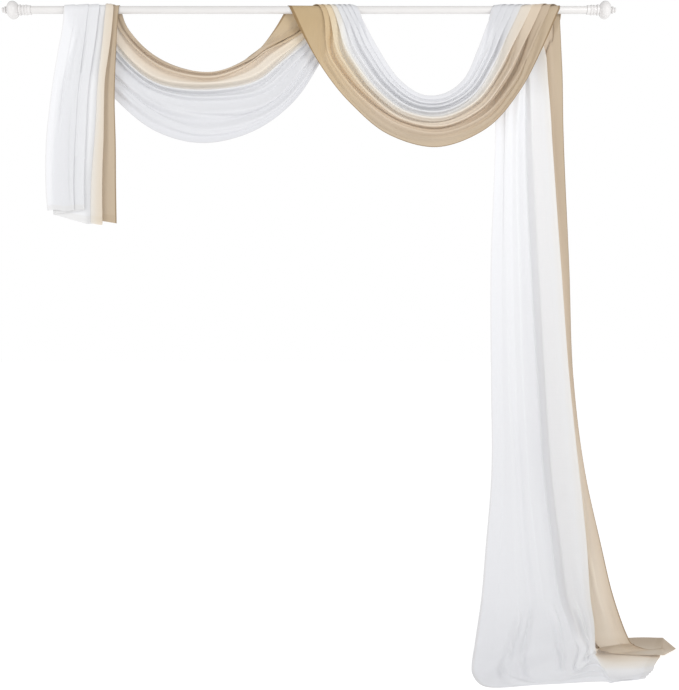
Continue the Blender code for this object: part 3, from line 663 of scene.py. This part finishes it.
def makeVoile():
    # clear (1 - s) + (surface (1 - t) + light from behind t) s, the surface in the colour of the dye at
    # across + cloudiness + lean, less two lighter shifts of painted light on the long tail and the first
    # swag, times the tints, and the light in white (1 - d) + taupe d
    paint = Paint(bpy.data.materials.new("voile"))
    uv = paint.node("UVMap", {"uv_map": "cut"}).outputs[0]
    parts = paint.node("SeparateXYZ", {}, {0: uv})
    across, along = Signal(paint, parts.outputs[0]), Signal(paint, parts.outputs[1])
    size = (scarfCut["width"], scarfCut["length"], 1.0)
    metres = paint.node("Mapping", {}, {"Vector": uv, "Scale": size}).outputs[0]
    flat = {"noise_dimensions": "2D"}
    noises = []
    for scale in (voile["warp"], voile["weft"]):
        thread = paint.node("Mapping", {}, {"Vector": metres, "Scale": scale}).outputs[0]
        noises.append(paint.signal("TexNoise", flat, {
            "Vector": thread, "Scale": 1.0, "Detail": voile["threadDetail"]}))
    threads = (noises[0] + noises[1]) * 0.5
    cloudy = paint.signal("TexNoise", flat, {
        "Vector": metres, "Scale": voile["cloudScale"], "Detail": voile["cloudDetail"]})

    dyed = ramped(across, *voile["dyed"])
    longTail = ramped(along, *voile["longTail"])
    firstSwag, secondSwag = (ramped(along, *start) * ramped(along, *end)
                             for start, end in (voile["firstSwag"], voile["secondSwag"]))
    # painted light: the taupe side down the long tail takes a lighter dye
    paler = peaked(across, voile["palerAt"], voile["palerReach"]) * longTail * voile["paler"]
    # painted light: the first swag takes a lighter dye, as one layer with light coming through
    thin = peaked(along, voile["thinAt"], voile["thinReach"]) * voile["thin"]
    lean = ((along - voile["leanAt"]) * voile["leanRate"]).least(voile["leanMost"]).most(voile["leanLeast"])
    place = across + (cloudy - 0.5) * voile["cloudShift"] - paler - thin + lean * secondSwag
    colour = paint.node("ValToRGB", {"stops": voile["stops"]}, {"Fac": place}).outputs[0]

    # painted shade: the mask of the folded flap at the long hem, which is darkened
    flap = peaked(across, voile["flapAt"], voile["flapReach"]) * ramped(along, *voile["flapStart"])
    # painted golden light on the dyed side where the cloth crosses the pole between the swags
    warmLight = peaked(along, voile["warmLightAt"], voile["warmLightReach"]) * dyed
    # painted shade on the white side, in the swags and down the long tail
    inSwags = (firstSwag + secondSwag * voile["secondSwagShade"]).least(1.0)
    swagShade = inSwags * ramped(across, *voile["swagShadeSide"])
    tailShade = longTail * voile["tailShade"] * ramped(across, *voile["tailShadeSide"])
    side = across.least(1.0 - across) * scarfCut["width"]
    end = along.least(1.0 - along) * scarfCut["length"]
    sideHem = ramped(side, voile["sideHem"], -voile["hemFade"])
    hem = sideHem.most(ramped(end, voile["endHem"], -voile["hemFade"]))
    # tints, in order: painted shade on the flap, painted golden light at the middle crossing, painted shade
    # on the white side, the hems, the taupe hem (its own dye and painted shade), and the threads
    for tint, amount in (
        (voile["flapShadeTint"], (flap * voile["flapAmount"]).share()),
        (voile["warmLightTint"], warmLight),
        (voile["swagShadeTint"], swagShade.most(tailShade)),
        (voile["hemTint"], hem),
        (voile["taupeHemAndShade"], sideHem * dyed),
        (voile["threadTint"], threads),
    ):
        colour = paint.tinted(colour, tint, amount)

    bump = paint.node("Bump", {}, {
        "Strength": voile["bump"], "Distance": voile["bumpDepth"], "Height": threads}).outputs[0]
    surface = paint.node("BsdfPrincipled", {}, {
        "Base Color": colour, "Roughness": voile["roughness"], "Specular IOR Level": voile["gloss"],
        "Sheen Weight": voile["sheen"], "Sheen Roughness": voile["sheenRoughness"],
        "Normal": bump}).outputs[0]
    white, taupe = (
        paint.node("BsdfTranslucent", {}, {"Color": (*voile[name], 1.0), "Normal": bump}).outputs[0]
        for name in ("throughWhite", "throughTaupe"))
    dye = ramped(place, *voile["throughDye"])
    behind = paint.node("MixShader", {}, {0: dye, 1: white, 2: taupe}).outputs[0]
    cloth = paint.node("MixShader", {}, {0: voile["through"], 1: surface, 2: behind}).outputs[0]
    clear = paint.node("BsdfTransparent", {}, {"Color": (1.0, 1.0, 1.0, 1.0)}).outputs[0]
    sheer = voile["sheer"] + dyed * (voile["sheerTaupe"] - voile["sheer"])
    sheer = sheer + hem * (voile["sheerHem"] - sheer) + (threads - 0.5) * voile["sheerThread"]
    return paint.finished(paint.node("MixShader", {}, {0: sheer.share(), 1: clear, 2: cloth}).outputs[0])


# Pole and finials

paintedParts = {
    "poleColour": (0.76, 0.745, 0.735), "poleRoughness": 0.32,
    "finialColour": (0.78, 0.765, 0.76), "finialRoughness": 0.25,
    "cloudScale": 18.0, "cloudDetail": 3.0, "cloudTint": (0.93, 0.925, 0.92), "cloudRoughness": 0.12,
    "grainScale": 900.0, "grainDetail": 2.0, "grain": 0.08, "grainDepth": 0.0003,
    "coat": 0.2, "coatRoughness": 0.2,
}


def makeSatin(name, colour, roughness):
    # satin paint: colour * tint by the cloudiness c, roughness + (c - 0.5) * cloudRoughness, and a fine grain
    paint = Paint(bpy.data.materials.new(name))
    place = paint.node("TexCoord").outputs["Object"]
    cloudy, fine = (
        paint.signal("TexNoise", {}, {
            "Vector": place, "Scale": paintedParts[kind + "Scale"], "Detail": paintedParts[kind + "Detail"]})
        for kind in ("cloud", "grain"))
    tone = paint.tinted((*colour, 1.0), paintedParts["cloudTint"], cloudy)
    bump = paint.node("Bump", {}, {
        "Strength": paintedParts["grain"], "Distance": paintedParts["grainDepth"], "Height": fine}).outputs[0]
    body = paint.node("BsdfPrincipled", {}, {
        "Base Color": tone, "Roughness": roughness + (cloudy - 0.5) * paintedParts["cloudRoughness"],
        "Coat Weight": paintedParts["coat"], "Coat Roughness": paintedParts["coatRoughness"],
        "Normal": bump}).outputs[0]
    return paint.finished(body)


def dressed(piece, made):
    # every material slot of the piece gets the paint that was made
    for slot in piece.material_slots:
        slot.link = "OBJECT"
        slot.material = made


# Floor, light and camera

studio = {
    "camera": (0.104, -3.4, -1.139),
    "frameHeight": 36.0, "lens": 52.17,            # millimetres: 1000 pixels of focal length
    "clip": (0.05, 200.0),
    "floorReach": 60.0,
    "floorColour": 0.50, "floorGlow": 0.74, "white": (1.0, 1.0, 1.0, 1.0),
    "light": 0.60,                                 # strength of the room's even light
    "key": 38.0, "keyAt": (2.0, -2.7, 0.5),        # watts and place
    "fill": 10.0, "fillAt": (-1.9, -1.6, 0.4),
    "lampAcross": 1.4, "lampTo": (0.0, 0.0, -0.6),
}


def makeStudio():
    # pale floor = diffuse + a little glow, an even white room, and two wide soft lamps
    reach, height = studio["floorReach"], scarfCut["floor"] * mm
    corners = [(x * reach, y * reach, height) for x, y in ((-1, -1), (1, -1), (1, 1), (-1, 1))]
    floorMesh = bpy.data.meshes.new("floor")
    floorMesh.from_pydata(corners, [], [(0, 1, 2, 3)])
    floor = bpy.data.objects.new("floor", floorMesh)
    bpy.context.scene.collection.objects.link(floor)
    paint = Paint(bpy.data.materials.new("pale floor"))
    body = paint.node("BsdfDiffuse", {}, {"Color": (studio["floorColour"],) * 3 + (1.0,)}).outputs[0]
    glow = paint.node("Emission", {}, {"Color": studio["white"], "Strength": studio["floorGlow"]}).outputs[0]
    floorMesh.materials.append(paint.finished(paint.node("AddShader", {}, {0: body, 1: glow}).outputs[0]))

    # full white behind the drape, and softer as light
    room = Paint(bpy.data.worlds.new("studio"))
    seen = room.node("LightPath").outputs["Is Camera Ray"]
    strength = room.signal("MapRange", {}, {"Value": seen, "To Min": studio["light"], "To Max": 1.0})
    even = room.node("Background", {}, {"Color": studio["white"], "Strength": strength}).outputs[0]
    bpy.context.scene.world = room.finished(even, "OutputWorld")

    # each lamp is turned to point along lampTo - its place
    for name in ("key", "fill"):
        light = bpy.data.lights.new(name, "AREA")
        light.energy, light.size = studio[name], studio["lampAcross"]
        lamp = bpy.data.objects.new(name, light)
        lamp.location = studio[name + "At"]
        side, ahead, up = (end - start for start, end in zip(studio[name + "At"], studio["lampTo"]))
        tilt, turn = math.atan2(math.hypot(side, ahead), -up), math.atan2(ahead, side) - math.pi / 2
        lamp.rotation_euler = (tilt, 0.0, turn)
        lamp.visible_camera = False
        bpy.context.scene.collection.objects.link(lamp)


def makeCamera():
    # a level camera in front of the drape, looking along +Y
    seen = bpy.data.cameras.new("camera")
    seen.sensor_fit, seen.sensor_height, seen.lens = "VERTICAL", studio["frameHeight"], studio["lens"]
    seen.clip_start, seen.clip_end = studio["clip"]
    camera = bpy.data.objects.new("camera", seen)
    camera.location = studio["camera"]
    camera.rotation_euler = (math.pi / 2, 0.0, 0.0)
    bpy.context.scene.collection.objects.link(camera)
    bpy.context.scene.camera = camera
    bpy.context.scene.view_settings.view_transform = "Standard"


makeCamera()
makeStudio()
print("studio ready")

scarf = makeScarf()
scarf.data.materials.append(makeVoile())
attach(scarf, "root")
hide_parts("scarf")

polePaint = makeSatin("satin white", paintedParts["poleColour"], paintedParts["poleRoughness"])
finialPaint = makeSatin("finial white", paintedParts["finialColour"], paintedParts["finialRoughness"])
dressed(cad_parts["pole"], polePaint)
dressed(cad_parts["finial_left"], finialPaint)
dressed(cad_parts["finial_right"], finialPaint)
print("pole painted")
